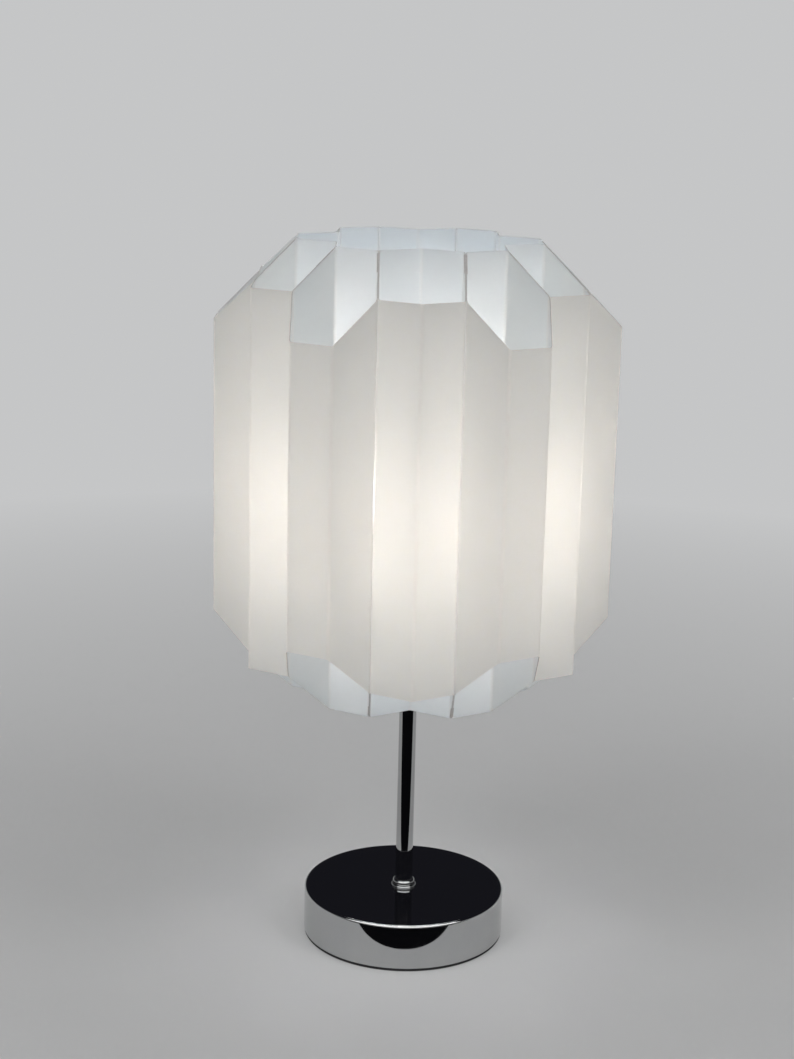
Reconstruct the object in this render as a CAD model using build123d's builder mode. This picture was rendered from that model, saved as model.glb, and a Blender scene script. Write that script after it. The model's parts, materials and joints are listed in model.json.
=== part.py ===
# Table lamp: a shade of twelve folded paper flutes on a chromed pole and a round weighted foot.
# Millimetres, +Z up. The origin is the middle of the underside, where the foot pad meets the table.
# The front is -Y, and the flex enters the foot at the back, +Y.
from build123d import *
import os
from math import copysign, cos, radians, sin, sqrt, tan

# ---------------------------------------------------------------------------------------------
# Clearances
# ---------------------------------------------------------------------------------------------
glue_line = 0.1  # between two glued walls of paper, and between a clip and its wall
thread_play = 0.05  # on the radius, between a fixed thread and its socket
slip_fit = 0.3  # on the radius, between pieces that are slid together and clamped
turning_gap = 0.3  # on the radius, between pieces that turn on one another
weld_line = 0.05  # between two welded wires

# ---------------------------------------------------------------------------------------------
# Shade: a ring of twelve six-sided flutes round a hollow, all standing the same way round
# ---------------------------------------------------------------------------------------------
fold_pitch = 31.0  # width of one facet, from fold to fold
paper = 0.5  # thickness of the sheet
fold_radius = 2.5  # outside a fold: the sheet bends softly and isn't creased sharp
shade_height = 305.0  # at the innermost folds, where the shade is tallest
shade_middle_z = 338.0  # half way up the shade
end_cut_angle = 45.0  # slope of the cut ends of the six corner flutes
glue_flap_width = 12.0  # the overlap that closes each folded sheet into a flute
flutes_of_each_kind = 6

# ---------------------------------------------------------------------------------------------
# Foot
# ---------------------------------------------------------------------------------------------
foot_radius = 70.5
foot_height = 33.5
edge_round = 1.4  # the cover's top edge
cover_sheet = 0.8
pad_thickness = 2.0
pad_inset = 2.0  # from the cover's wall to the pad's edge
weight_plate = 14.0
weight_round = 2.0
boss_radius = 17.0
recess_radius = 13.5
recess_depth = 10.0
nut_across_flats = 14.0
nut_height = 5.0
washer_radius = 10.5
washer_thickness = 1.2
washer_teeth = 12
washer_tooth_depth = 1.4
washer_tooth_width = 1.6
rod_below_nut = 1.5

# Flex entry at the back of the foot
flex_bore_radius = 3.1
flex_height = 9.0
grommet_waist_radius = 4.4
grommet_flange_radius = 6.2
grommet_flange = 1.5
grommet_seat_gap = 0.45  # the flat flanges stand off the round wall by this much
grommet_round = 0.5
groove_width = 8.0
notch_margin = 0.8
notch_depth = 5.0

# ---------------------------------------------------------------------------------------------
# Pole
# ---------------------------------------------------------------------------------------------
pole_radius = 6.0
pole_length = 178.0
rod_radius = 5.0  # threaded pipe in the foot and below the lampholder
rod_bore_radius = 3.6
rod_in_pole = 18.0
nipple_in_pole = 10.0
nipple_in_cap = 8.0
collar_radius = 7.3
collar_height = 4.2
collar_round = 0.9
collar_neck_height = 1.1
collar_neck_radius = 6.9

# ---------------------------------------------------------------------------------------------
# Lampholder for a screw cap of 27 mm
# ---------------------------------------------------------------------------------------------
cap_radius = 21.0
cap_height = 27.0
cap_wall = 1.8
cap_neck_radius = 8.0
cap_neck_height = 6.0
cap_shoulder_height = 14.0
cap_floor_height = 9.0
core_seat_height = 15.5
core_seat_width = 3.7
core_height = 8.0
lock_screw_radius = 1.5
lock_screw_height = 3.0
terminal_spacing = 18.0
terminal_head_radius = 2.6
terminal_head = 1.8
terminal_shank_radius = 1.4
terminal_shank = 5.0
spigot_wall = 1.8
flange_radius = 22.5
flange_thickness = 2.5
holder_thread_radius = 19.7
holder_thread_length = 20.0
lip_thickness = 2.0
lip_radius = 14.4
contact_sheet = 0.5
contact_width = 6.0
contact_foot = 5.0
contact_tongue = 4.0
contact_rise = 3.2  # from the core to the top of the centre contact
sleeve_sheet = 0.5
sleeve_height = 22.0

# ---------------------------------------------------------------------------------------------
# Shade carrier and the ring that clamps it
# ---------------------------------------------------------------------------------------------
carrier_sheet = 1.5
carrier_radius = 30.0
wire_radius = 1.2
arm_count = 3
arm_start_radius = 26.8
arm_flat_radius = 34.0
arm_bend_radius = 6.0
arm_overhang = 1.4
hoop_to_fold = 3.0  # from the middle of the hoop's wire out to the folds that it holds
hoop_rise = 16.0  # from the carrier ring to the middle of the hoop
clip_half_width = 8.0
clip_height = 9.0
clip_cover = 2.0
clip_mouth = 2.1  # a little less than the wire, so that it snaps in
ring_height = 7.0
ring_radius = 25.5
ring_wall = 3.0
ring_skirt_height = 2.2
ring_grips = 12
ring_grip_radius = 1.6

# ---------------------------------------------------------------------------------------------
# Bulb
# ---------------------------------------------------------------------------------------------
bulb_length = 108.0
globe_radius = 30.0
globe_wall = 1.2
globe_cut_drop = 17.0  # from the globe's middle down to its seat
tip_radius = 4.6
tip_thickness = 1.0
insulator_radius = 11.3
insulator_neck_radius = 5.2
insulator_cone = 3.5
insulator_plug = 5.0
thread_crest_radius = 13.15
thread_root_radius = 12.1
thread_pitch = 3.6
thread_turns = 5
thread_lead_in = 1.2
thread_collar = 1.3
shell_sheet = 0.4
housing_foot_radius = 14.0
housing_spigot = 11.0
board_radius = 20.0
board_thickness = 1.6

# ---------------------------------------------------------------------------------------------
# Heights and radii that follow from the sizes above
# ---------------------------------------------------------------------------------------------
apothem = fold_pitch * sqrt(3) / 2  # from a flute's middle to its walls
inner_half = shade_height / 2
middle_half = inner_half - apothem * tan(radians(end_cut_angle))
shade_bottom_z = shade_middle_z - inner_half
ridge_radius = 2 * fold_pitch + glue_line / sqrt(3)  # where the walls of the six inner folds would meet

cover_underside = foot_height - cover_sheet
weight_radius = foot_radius - cover_sheet - slip_fit
recess_roof = pad_thickness + recess_depth
nut_bottom = recess_roof - washer_thickness - nut_height
rod_bottom = nut_bottom - rod_below_nut
rod_hole_radius = rod_radius + slip_fit
pole_bore_radius = rod_radius + thread_play
pole_top = foot_height + pole_length

cap_bore_radius = cap_radius - cap_wall
cap_rim = pole_top + cap_height
core_bottom = pole_top + core_seat_height
core_top = core_bottom + core_height
core_radius = cap_bore_radius - slip_fit
spigot_radius = cap_bore_radius - thread_play
carrier_seat = cap_rim + flange_thickness
holder_rim = carrier_seat + holder_thread_length

carrier_top = carrier_seat + carrier_sheet
clamp_bore_radius = holder_thread_radius + turning_gap
hoop_z = carrier_top + hoop_rise
hoop_radius = ridge_radius - hoop_to_fold
clip_inner_radius = hoop_radius - wire_radius - clip_cover

bulb_tip = core_top + contact_rise
bulb_thread_bottom = bulb_tip + tip_thickness + insulator_cone
bulb_thread_top = bulb_thread_bottom + thread_lead_in + thread_turns * thread_pitch + thread_collar
globe_middle = bulb_tip + bulb_length - globe_radius
globe_seat = globe_middle - globe_cut_drop
globe_seat_radius = sqrt(globe_radius**2 - globe_cut_drop**2)

os.makedirs("parts", exist_ok=True)


def thread_wave(crest, root, bottom, turns):
    """The radius and height of each corner of a rolled thread's side, from the bottom up."""
    quarter = thread_pitch / 4
    corners = []
    for turn in range(turns):
        start = bottom + turn * thread_pitch
        corners.append((root, start + quarter / 2))
        corners.append((crest, start + quarter * 3 / 2))
        corners.append((crest, start + quarter * 5 / 2))
        corners.append((root, start + quarter * 7 / 2))
    return corners


# ---------------------------------------------------------------------------------------------
# Foot: pad, weight, cover, washer and nut
# ---------------------------------------------------------------------------------------------
with BuildPart() as foot_pad:
    with BuildSketch():
        Circle(foot_radius - cover_sheet - pad_inset)
    extrude(amount=pad_thickness)
foot_pad.part.label = "foot_pad"
export_step(foot_pad.part, "parts/foot_pad.step")

with BuildPart() as base_weight:
    with BuildSketch(Plane.XY.offset(pad_thickness)):
        Circle(weight_radius)
    extrude(amount=weight_plate)
    fillet(base_weight.edges().group_by(Axis.Z)[-1], weight_round)
    with BuildSketch(Plane.XY.offset(pad_thickness)):
        Circle(boss_radius)
    extrude(amount=cover_underside - pad_thickness)
    # Recess for the nut, groove for the flex and notch for the grommet
    with BuildSketch(Plane.XY.offset(pad_thickness)):
        Circle(recess_radius)
        with Locations((0, weight_radius / 2)):
            Rectangle(groove_width, weight_radius)
    extrude(amount=recess_depth, mode=Mode.SUBTRACT)
    with BuildSketch(Plane.XY.offset(pad_thickness)):
        with Locations((0, weight_radius)):
            Rectangle(2 * (grommet_flange_radius + notch_margin), 2 * notch_depth)
    extrude(amount=weight_plate, mode=Mode.SUBTRACT)
    with BuildSketch(Plane.XY.offset(pad_thickness)):
        Circle(rod_hole_radius)
    extrude(amount=foot_height, mode=Mode.SUBTRACT)
base_weight.part.label = "base_weight"
export_step(base_weight.part, "parts/base_weight.step")

with BuildPart() as base_cover:
    with BuildSketch(Plane.XY.offset(pad_thickness)):
        Circle(foot_radius)
    extrude(amount=foot_height - pad_thickness)
    fillet(base_cover.edges().group_by(Axis.Z)[-1], edge_round)
    offset(amount=-cover_sheet, openings=base_cover.faces().sort_by(Axis.Z)[0])
    with BuildSketch(Plane.XY.offset(foot_height)):
        Circle(rod_hole_radius)
    extrude(amount=-2 * cover_sheet, mode=Mode.SUBTRACT)
    with BuildSketch(Plane.XZ.offset(-foot_radius)):
        with Locations((0, flex_height)):
            Circle(grommet_waist_radius + thread_play)
    extrude(amount=2 * cover_sheet, mode=Mode.SUBTRACT)
base_cover.part.label = "base_cover"
export_step(base_cover.part, "parts/base_cover.step")

# Grommet: flange outside, waist in the hole, flange inside, one bore right through
grommet_outer_face = foot_radius + grommet_flange
grommet_inner_seat = foot_radius - cover_sheet - grommet_seat_gap
grommet_inner_face = grommet_inner_seat - grommet_flange
with BuildPart() as cord_grommet:
    with BuildSketch(Plane.XZ.offset(-grommet_outer_face)):
        with Locations((0, flex_height)):
            Circle(grommet_flange_radius)
    extrude(amount=grommet_flange)
    fillet(cord_grommet.edges().group_by(Axis.Y)[-1], grommet_round)
    with BuildSketch(Plane.XZ.offset(-foot_radius)):
        with Locations((0, flex_height)):
            Circle(grommet_waist_radius)
    extrude(amount=foot_radius - grommet_inner_seat)
    with BuildSketch(Plane.XZ.offset(-grommet_inner_seat)):
        with Locations((0, flex_height)):
            Circle(grommet_flange_radius)
    extrude(amount=grommet_flange)
    with BuildSketch(Plane.XZ.offset(-grommet_outer_face)):
        with Locations((0, flex_height)):
            Circle(flex_bore_radius)
    extrude(amount=grommet_outer_face - grommet_inner_face, mode=Mode.SUBTRACT)
cord_grommet.part.label = "cord_grommet"
export_step(cord_grommet.part, "parts/cord_grommet.step")

with BuildPart() as base_washer:
    with BuildSketch(Plane.XY.offset(recess_roof - washer_thickness)):
        Circle(washer_radius)
        with PolarLocations(washer_radius - washer_tooth_depth / 2, washer_teeth):
            Rectangle(washer_tooth_depth * 2, washer_tooth_width, mode=Mode.SUBTRACT)
        Circle(rod_hole_radius, mode=Mode.SUBTRACT)
    extrude(amount=washer_thickness)
base_washer.part.label = "base_washer"
export_step(base_washer.part, "parts/base_washer.step")

with BuildPart() as base_nut:
    with BuildSketch(Plane.XY.offset(nut_bottom)):
        RegularPolygon(nut_across_flats / 2, 6, major_radius=False)
        Circle(rod_radius + thread_play, mode=Mode.SUBTRACT)
    extrude(amount=nut_height)
base_nut.part.label = "base_nut"
export_step(base_nut.part, "parts/base_nut.step")

# ---------------------------------------------------------------------------------------------
# Pole: threaded pipe, collar, tube and upper nipple
# ---------------------------------------------------------------------------------------------
with BuildPart() as base_rod:
    with BuildSketch(Plane.XY.offset(rod_bottom)):
        Circle(rod_radius)
        Circle(rod_bore_radius, mode=Mode.SUBTRACT)
    extrude(amount=foot_height + rod_in_pole - rod_bottom)
base_rod.part.label = "base_rod"
export_step(base_rod.part, "parts/base_rod.step")

with BuildPart() as pole:
    with BuildSketch(Plane.XY.offset(foot_height)):
        Circle(pole_radius)
        Circle(pole_bore_radius, mode=Mode.SUBTRACT)
    extrude(amount=pole_length)
pole.part.label = "pole"
export_step(pole.part, "parts/pole.step")

with BuildPart() as pole_collar:
    with BuildSketch(Plane.XY.offset(foot_height)):
        Circle(collar_neck_radius)
    extrude(amount=collar_neck_height)
    with BuildSketch(Plane.XY.offset(foot_height + collar_neck_height)):
        Circle(collar_radius)
    extrude(amount=collar_height - collar_neck_height)
    fillet(pole_collar.edges().group_by(Axis.Z)[-1], collar_round)
    with BuildSketch(Plane.XY.offset(foot_height)):
        Circle(pole_radius + thread_play)
    extrude(amount=collar_height, mode=Mode.SUBTRACT)
pole_collar.part.label = "pole_collar"
export_step(pole_collar.part, "parts/pole_collar.step")

with BuildPart() as holder_nipple:
    with BuildSketch(Plane.XY.offset(pole_top - nipple_in_pole)):
        Circle(rod_radius)
        Circle(rod_bore_radius, mode=Mode.SUBTRACT)
    extrude(amount=nipple_in_pole + nipple_in_cap)
holder_nipple.part.label = "holder_nipple"
export_step(holder_nipple.part, "parts/holder_nipple.step")

# ---------------------------------------------------------------------------------------------
# Lampholder: cap, lock screw, core, terminals, contacts and threaded shell
# ---------------------------------------------------------------------------------------------
with BuildPart() as holder_cap:
    with BuildSketch(Plane.XZ):
        with BuildLine():
            Polyline(
                (pole_bore_radius, pole_top),
                (cap_neck_radius, pole_top),
                (cap_neck_radius, pole_top + cap_neck_height),
                (cap_radius, pole_top + cap_shoulder_height),
                (cap_radius, cap_rim),
                (cap_bore_radius, cap_rim),
                (cap_bore_radius, core_bottom),
                (cap_bore_radius - core_seat_width, core_bottom),
                (cap_neck_radius + cap_wall / 2, pole_top + cap_floor_height),
                (pole_bore_radius, pole_top + cap_floor_height),
                close=True,
            )
        make_face()
    revolve(axis=Axis.Z)
    with BuildSketch(Plane.XZ.offset(-cap_neck_radius)):
        with Locations((0, pole_top + lock_screw_height)):
            Circle(lock_screw_radius + thread_play)
    extrude(amount=cap_neck_radius - rod_radius, mode=Mode.SUBTRACT)
holder_cap.part.label = "holder_cap"
export_step(holder_cap.part, "parts/holder_cap.step")

with BuildPart() as holder_lock_screw:
    with BuildSketch(Plane.XZ.offset(-cap_neck_radius)):
        with Locations((0, pole_top + lock_screw_height)):
            Circle(lock_screw_radius)
    extrude(amount=cap_neck_radius - rod_radius - thread_play)
holder_lock_screw.part.label = "holder_lock_screw"
export_step(holder_lock_screw.part, "parts/holder_lock_screw.step")

with BuildPart() as holder_core:
    with BuildSketch(Plane.XY.offset(core_bottom)):
        Circle(core_radius)
    extrude(amount=core_height)
    with BuildSketch(Plane.XY.offset(core_bottom)):
        with GridLocations(terminal_spacing, 1, 2, 1):
            Circle(terminal_shank_radius + thread_play)
    extrude(amount=terminal_shank, mode=Mode.SUBTRACT)
holder_core.part.label = "holder_core"
export_step(holder_core.part, "parts/holder_core.step")

with BuildPart() as terminal_screws:
    with BuildSketch(Plane.XY.offset(core_bottom)):
        with GridLocations(terminal_spacing, 1, 2, 1):
            Circle(terminal_shank_radius)
    extrude(amount=terminal_shank)
    with BuildSketch(Plane.XY.offset(core_bottom)):
        with GridLocations(terminal_spacing, 1, 2, 1):
            Circle(terminal_head_radius)
    extrude(amount=-terminal_head)
terminal_screws.part.label = "terminal_screws"
export_step(terminal_screws.part, "parts/terminal_screws.step")

# The centre contact is a springy strip: a foot on the core, a slope and a flat under the bulb's tip
with BuildPart() as centre_contact:
    with BuildSketch(Plane.XZ.offset(-contact_width / 2)):
        with BuildLine():
            Polyline(
                (-contact_tongue / 2 - contact_rise - contact_foot, core_top),
                (-contact_tongue / 2 - contact_rise, core_top),
                (-contact_tongue / 2, bulb_tip - contact_sheet),
                (contact_tongue / 2, bulb_tip - contact_sheet),
                (contact_tongue / 2, bulb_tip),
                (-contact_tongue / 2 - contact_sheet / 2, bulb_tip),
                (-contact_tongue / 2 - contact_rise - contact_sheet / 2, core_top + contact_sheet),
                (-contact_tongue / 2 - contact_rise - contact_foot, core_top + contact_sheet),
                close=True,
            )
        make_face()
    extrude(amount=contact_width)
centre_contact.part.label = "centre_contact"
export_step(centre_contact.part, "parts/centre_contact.step")

# The threaded sleeve follows the bulb's thread at a steady distance
sleeve_crest = thread_crest_radius + turning_gap
sleeve_root = thread_root_radius + turning_gap
sleeve_wave = thread_wave(sleeve_crest, sleeve_root, bulb_thread_bottom + thread_lead_in, thread_turns - 2)
sleeve_wave_top = sleeve_wave[-1][1]
sleeve_side = [
    (sleeve_root, core_top),
    *sleeve_wave,
    (sleeve_crest, sleeve_wave_top + thread_pitch / 4),
    (sleeve_crest, core_top + sleeve_height),
]
with BuildPart() as socket_sleeve:
    with BuildSketch(Plane.XZ):
        with BuildLine():
            Polyline(
                *sleeve_side,
                *[(radius + sleeve_sheet, height) for radius, height in reversed(sleeve_side)],
                close=True,
            )
        make_face()
    revolve(axis=Axis.Z)
socket_sleeve.part.label = "socket_sleeve"
export_step(socket_sleeve.part, "parts/socket_sleeve.step")

with BuildPart() as holder_shell:
    with BuildSketch(Plane.XZ):
        with BuildLine():
            Polyline(
                (spigot_radius - spigot_wall, core_top),
                (spigot_radius, core_top),
                (spigot_radius, cap_rim),
                (flange_radius, cap_rim),
                (flange_radius, carrier_seat),
                (holder_thread_radius, carrier_seat),
                (holder_thread_radius, holder_rim),
                (lip_radius, holder_rim),
                (lip_radius, holder_rim - lip_thickness),
                (spigot_radius - spigot_wall, holder_rim - lip_thickness),
                close=True,
            )
        make_face()
    revolve(axis=Axis.Z)
holder_shell.part.label = "holder_shell"
export_step(holder_shell.part, "parts/holder_shell.step")

# ---------------------------------------------------------------------------------------------
# Bulb: tip, insulator, screw shell, housing, light board and globe
# ---------------------------------------------------------------------------------------------
with BuildPart() as bulb_tip_contact:
    with BuildSketch(Plane.XY.offset(bulb_tip)):
        Circle(tip_radius)
    extrude(amount=tip_thickness)
bulb_tip_contact.part.label = "bulb_tip_contact"
export_step(bulb_tip_contact.part, "parts/bulb_tip_contact.step")

insulator_bottom = bulb_tip + tip_thickness
with BuildPart() as bulb_insulator:
    with BuildSketch(Plane.XZ):
        with BuildLine():
            Polyline(
                (0, insulator_bottom),
                (insulator_neck_radius, insulator_bottom),
                (insulator_radius, bulb_thread_bottom),
                (insulator_radius, bulb_thread_bottom + insulator_plug),
                (0, bulb_thread_bottom + insulator_plug),
                close=True,
            )
        make_face()
    revolve(axis=Axis.Z)
bulb_insulator.part.label = "bulb_insulator"
export_step(bulb_insulator.part, "parts/bulb_insulator.step")

shell_bore_radius = thread_root_radius - shell_sheet
shell_wave = thread_wave(
    thread_crest_radius, thread_root_radius, bulb_thread_bottom + thread_lead_in, thread_turns
)
with BuildPart() as bulb_screw_shell:
    with BuildSketch(Plane.XZ):
        with BuildLine():
            Polyline(
                (shell_bore_radius, bulb_thread_bottom),
                (thread_root_radius, bulb_thread_bottom),
                *shell_wave,
                (thread_crest_radius, bulb_thread_top),
                (shell_bore_radius, bulb_thread_top),
                close=True,
            )
        make_face()
    revolve(axis=Axis.Z)
bulb_screw_shell.part.label = "bulb_screw_shell"
export_step(bulb_screw_shell.part, "parts/bulb_screw_shell.step")

with BuildPart() as bulb_housing:
    with BuildSketch(Plane.XZ):
        with BuildLine():
            Polyline(
                (globe_seat_radius, globe_seat),
                (0, globe_seat),
                (0, bulb_thread_top - housing_spigot),
                (shell_bore_radius - thread_play, bulb_thread_top - housing_spigot),
                (shell_bore_radius - thread_play, bulb_thread_top),
                (housing_foot_radius, bulb_thread_top),
            )
            TangentArc(
                (housing_foot_radius, bulb_thread_top),
                (globe_seat_radius, globe_seat),
                tangent=(0, 1),
            )
        make_face()
    revolve(axis=Axis.Z)
bulb_housing.part.label = "bulb_housing"
export_step(bulb_housing.part, "parts/bulb_housing.step")

with BuildPart() as bulb_board:
    with BuildSketch(Plane.XY.offset(globe_seat)):
        Circle(board_radius)
    extrude(amount=board_thickness)
bulb_board.part.label = "bulb_board"
export_step(bulb_board.part, "parts/bulb_board.step")

with BuildPart() as bulb_globe:
    with Locations((0, 0, globe_middle)):
        Sphere(globe_radius)
        Sphere(globe_radius - globe_wall, mode=Mode.SUBTRACT)
    split(bisect_by=Plane.XY.offset(globe_seat), keep=Keep.TOP)
bulb_globe.part.label = "bulb_globe"
export_step(bulb_globe.part, "parts/bulb_globe.step")

# ---------------------------------------------------------------------------------------------
# Shade carrier: pressed ring, three wire arms, wire hoop, and the clips glued to the inner folds
# ---------------------------------------------------------------------------------------------
with BuildPart() as carrier_ring:
    with BuildSketch(Plane.XY.offset(carrier_seat)):
        Circle(carrier_radius)
        Circle(clamp_bore_radius, mode=Mode.SUBTRACT)
    extrude(amount=carrier_sheet)
carrier_ring.part.label = "carrier_ring"
export_step(carrier_ring.part, "parts/carrier_ring.step")

arm_z = carrier_top + weld_line + wire_radius
arm_end_z = hoop_z - 2 * wire_radius - weld_line
carrier_arm_solids = []
for arm in range(arm_count):
    turn = 360 / arm_count * arm
    outwards = Plane(
        origin=(0, 0, 0),
        x_dir=(cos(radians(turn)), sin(radians(turn)), 0),
        z_dir=(sin(radians(turn)), -cos(radians(turn)), 0),
    )
    with BuildPart() as carrier_arm:
        with BuildLine(outwards) as route:
            FilletPolyline(
                (arm_start_radius, arm_z),
                (arm_flat_radius, arm_z),
                (hoop_radius - arm_bend_radius, arm_end_z),
                (hoop_radius + arm_overhang, arm_end_z),
                radius=arm_bend_radius,
            )
        with BuildSketch(Plane(origin=route.line @ 0, z_dir=route.line % 0)):
            Circle(wire_radius)
        sweep(path=route.line)
    carrier_arm_solids.append(carrier_arm.part.solid())
carrier_arms = Compound(children=carrier_arm_solids, label="carrier_arms")
export_step(carrier_arms, "parts/carrier_arms.step")

with BuildPart() as carrier_hoop:
    with BuildSketch(Plane.XZ):
        with Locations((hoop_radius, hoop_z)):
            Circle(wire_radius)
    revolve(axis=Axis.Z)
carrier_hoop.part.label = "carrier_hoop"
export_step(carrier_hoop.part, "parts/carrier_hoop.step")

# A clip hugs the two walls beside a fold that points inwards, and snaps down over the hoop
clip_back_radius = ridge_radius - glue_line * 2 / sqrt(3)
clip_corner_radius = clip_back_radius + clip_half_width / sqrt(3)
channel_radius = wire_radius + glue_line
with BuildPart() as hoop_clips:
    with BuildSketch(Plane.XY.offset(hoop_z - clip_height / 2)):
        with PolarLocations(0, flutes_of_each_kind, start_angle=30):
            Polygon(
                (clip_inner_radius, -clip_half_width),
                (clip_corner_radius, -clip_half_width),
                (clip_back_radius, 0),
                (clip_corner_radius, clip_half_width),
                (clip_inner_radius, clip_half_width),
                align=None,
            )
    extrude(amount=clip_height)
    with BuildSketch(Plane.XZ):
        with Locations((hoop_radius, hoop_z)):
            Circle(channel_radius)
        with Locations((hoop_radius, hoop_z - clip_height / 2)):
            Rectangle(clip_mouth, clip_height)
    revolve(axis=Axis.Z, mode=Mode.SUBTRACT)
hoop_clips.part.label = "hoop_clips"
export_step(hoop_clips.part, "parts/hoop_clips.step")

with BuildPart() as retaining_ring:
    with BuildSketch(Plane.XY.offset(carrier_top)):
        Circle(clamp_bore_radius + ring_wall)
    extrude(amount=ring_height)
    with BuildSketch(Plane.XY.offset(carrier_top)):
        Circle(ring_radius)
        with PolarLocations(ring_radius, ring_grips):
            Circle(ring_grip_radius, mode=Mode.SUBTRACT)
    extrude(amount=ring_skirt_height)
    with BuildSketch(Plane.XY.offset(carrier_top)):
        Circle(clamp_bore_radius)
    extrude(amount=ring_height, mode=Mode.SUBTRACT)
retaining_ring.part.label = "retaining_ring"
export_step(retaining_ring.part, "parts/retaining_ring.step")

# ---------------------------------------------------------------------------------------------
# Flutes: each is one folded sheet, six walls round, glued to its neighbours along two of its walls
# ---------------------------------------------------------------------------------------------
side_distance = 3 * fold_pitch  # from the pole to the middle of a side flute
corner_distance = 4 * apothem  # from the pole to the middle of a corner flute
outer_apothem = apothem - glue_line / 2
inner_apothem = outer_apothem - paper
flap_offset = inner_apothem - paper / 2  # from a flute's middle to the middle of its flap's thickness
flap_shift = inner_apothem / sqrt(3) - glue_flap_width / 2  # from there along the wall to the flap's middle


def upper_and_lower(ends):
    """A closed outline from its upper edge, given as radius and half height from the pole outwards."""
    return [*ends, *[(radius, -half) for radius, half in reversed(ends)]]


# Side flutes are level at their inner and outer folds and slope along their spokes.
side_ends = upper_and_lower(
    [
        (fold_pitch, inner_half),
        (side_distance - fold_pitch / 2, inner_half),
        (side_distance + fold_pitch / 2, middle_half),
        (side_distance + 2 * fold_pitch, middle_half),
    ]
)
# Corner flutes are cut off on one slope, from their inner wall to their outer wall.
end_slope = tan(radians(end_cut_angle))
corner_ends = upper_and_lower(
    [
        (fold_pitch, inner_half + (corner_distance - apothem - fold_pitch) * end_slope),
        (corner_distance + 2 * fold_pitch, middle_half - 2 * fold_pitch * end_slope),
    ]
)


def fold_flute(label, distance, heading, ends, glued_wall_turn):
    """One six-sided flute whose middle is at distance and heading from the pole.

    Its glue flap lies inside a wall that a neighbour is glued to, against the fold nearer the pole.
    That wall's normal is glued_wall_turn away from the heading, to the left or to the right.
    The flaps on the right half mirror those on the left, and so none of them shows from the front.
    """
    direction = (cos(radians(heading)), sin(radians(heading)), 0)
    sideways = (sin(radians(heading)), -cos(radians(heading)), 0)
    on_right_half = round(direction[0], 3) > 0
    flap_turn = -glued_wall_turn if on_right_half else glued_wall_turn
    flap_normal = radians(heading + flap_turn)
    along_wall = copysign(flap_shift, flap_turn)
    with BuildPart() as flute:
        with BuildSketch(Plane.XY.offset(shade_bottom_z)) as section:
            with Locations((distance * direction[0], distance * direction[1])):
                RegularPolygon(outer_apothem, 6, major_radius=False, rotation=30)
            fillet(section.vertices(), fold_radius)
            offset(section.faces(), amount=-paper, mode=Mode.SUBTRACT)
            with Locations(
                (
                    distance * direction[0] + flap_offset * cos(flap_normal) - along_wall * sin(flap_normal),
                    distance * direction[1] + flap_offset * sin(flap_normal) + along_wall * cos(flap_normal),
                )
            ):
                Rectangle(paper, glue_flap_width, rotation=heading + flap_turn)
        extrude(amount=shade_height)
        with BuildSketch(Plane(origin=(0, 0, shade_middle_z), x_dir=direction, z_dir=sideways)):
            with BuildLine():
                Polyline(*ends, close=True)
            make_face()
        extrude(amount=2 * fold_pitch, both=True, mode=Mode.INTERSECT)
    flute.part.label = label
    export_step(flute.part, f"parts/{label}.step")


for number in range(flutes_of_each_kind):
    step = 360 / flutes_of_each_kind * number
    fold_flute(f"side_flute_{number + 1}", side_distance, step - 90, side_ends, glued_wall_turn=90)
    fold_flute(f"corner_flute_{number + 1}", corner_distance, step - 60, corner_ends, glued_wall_turn=120)
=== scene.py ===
# %% [markdown]
# # A table lamp with a shade of folded paper flutes
# The lamp stands on a round chromed foot. A slim chromed pole carries a lampholder, and a ring
# clamps the shade to it. The shade is a ring of twelve six-sided paper flutes, glued side by side.
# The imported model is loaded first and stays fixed: every piece made here takes its place from it.

# %% Load the fixed frame
import json
import math

import bmesh
import bpy
from mathutils import Matrix, Vector


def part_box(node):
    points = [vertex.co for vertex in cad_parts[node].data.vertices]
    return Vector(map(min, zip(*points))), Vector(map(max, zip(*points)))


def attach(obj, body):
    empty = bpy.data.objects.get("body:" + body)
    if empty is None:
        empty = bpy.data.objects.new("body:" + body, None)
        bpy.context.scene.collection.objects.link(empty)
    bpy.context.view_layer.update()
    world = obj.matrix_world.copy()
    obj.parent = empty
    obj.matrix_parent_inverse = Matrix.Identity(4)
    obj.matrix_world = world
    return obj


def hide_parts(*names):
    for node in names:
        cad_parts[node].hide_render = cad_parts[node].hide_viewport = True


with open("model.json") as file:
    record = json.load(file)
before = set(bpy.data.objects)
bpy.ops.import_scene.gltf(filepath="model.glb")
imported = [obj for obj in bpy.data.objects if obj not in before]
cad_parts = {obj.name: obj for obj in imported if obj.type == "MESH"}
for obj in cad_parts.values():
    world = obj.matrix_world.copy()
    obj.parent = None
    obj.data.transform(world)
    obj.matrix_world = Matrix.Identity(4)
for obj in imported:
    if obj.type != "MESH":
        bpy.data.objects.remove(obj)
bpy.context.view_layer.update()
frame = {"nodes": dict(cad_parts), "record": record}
MM = 0.001

# %% [markdown]
# ## The camera
# The photograph was taken from a little above the shade, and almost straight in front of it. A
# camera can be placed by eye, but then hardly a fold falls where it should. Here its place, its
# turn and its lens were worked out from the shade's corners and the foot's rim. A camera looks
# along its own -Z, so its three axes are built one by one and put into a matrix.

# %% The camera's axes
CAMERA_YAW = math.radians(0.754)
CAMERA_PITCH_DOWN = math.radians(14.019)
CAMERA_ROLL = math.radians(1.346)


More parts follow.
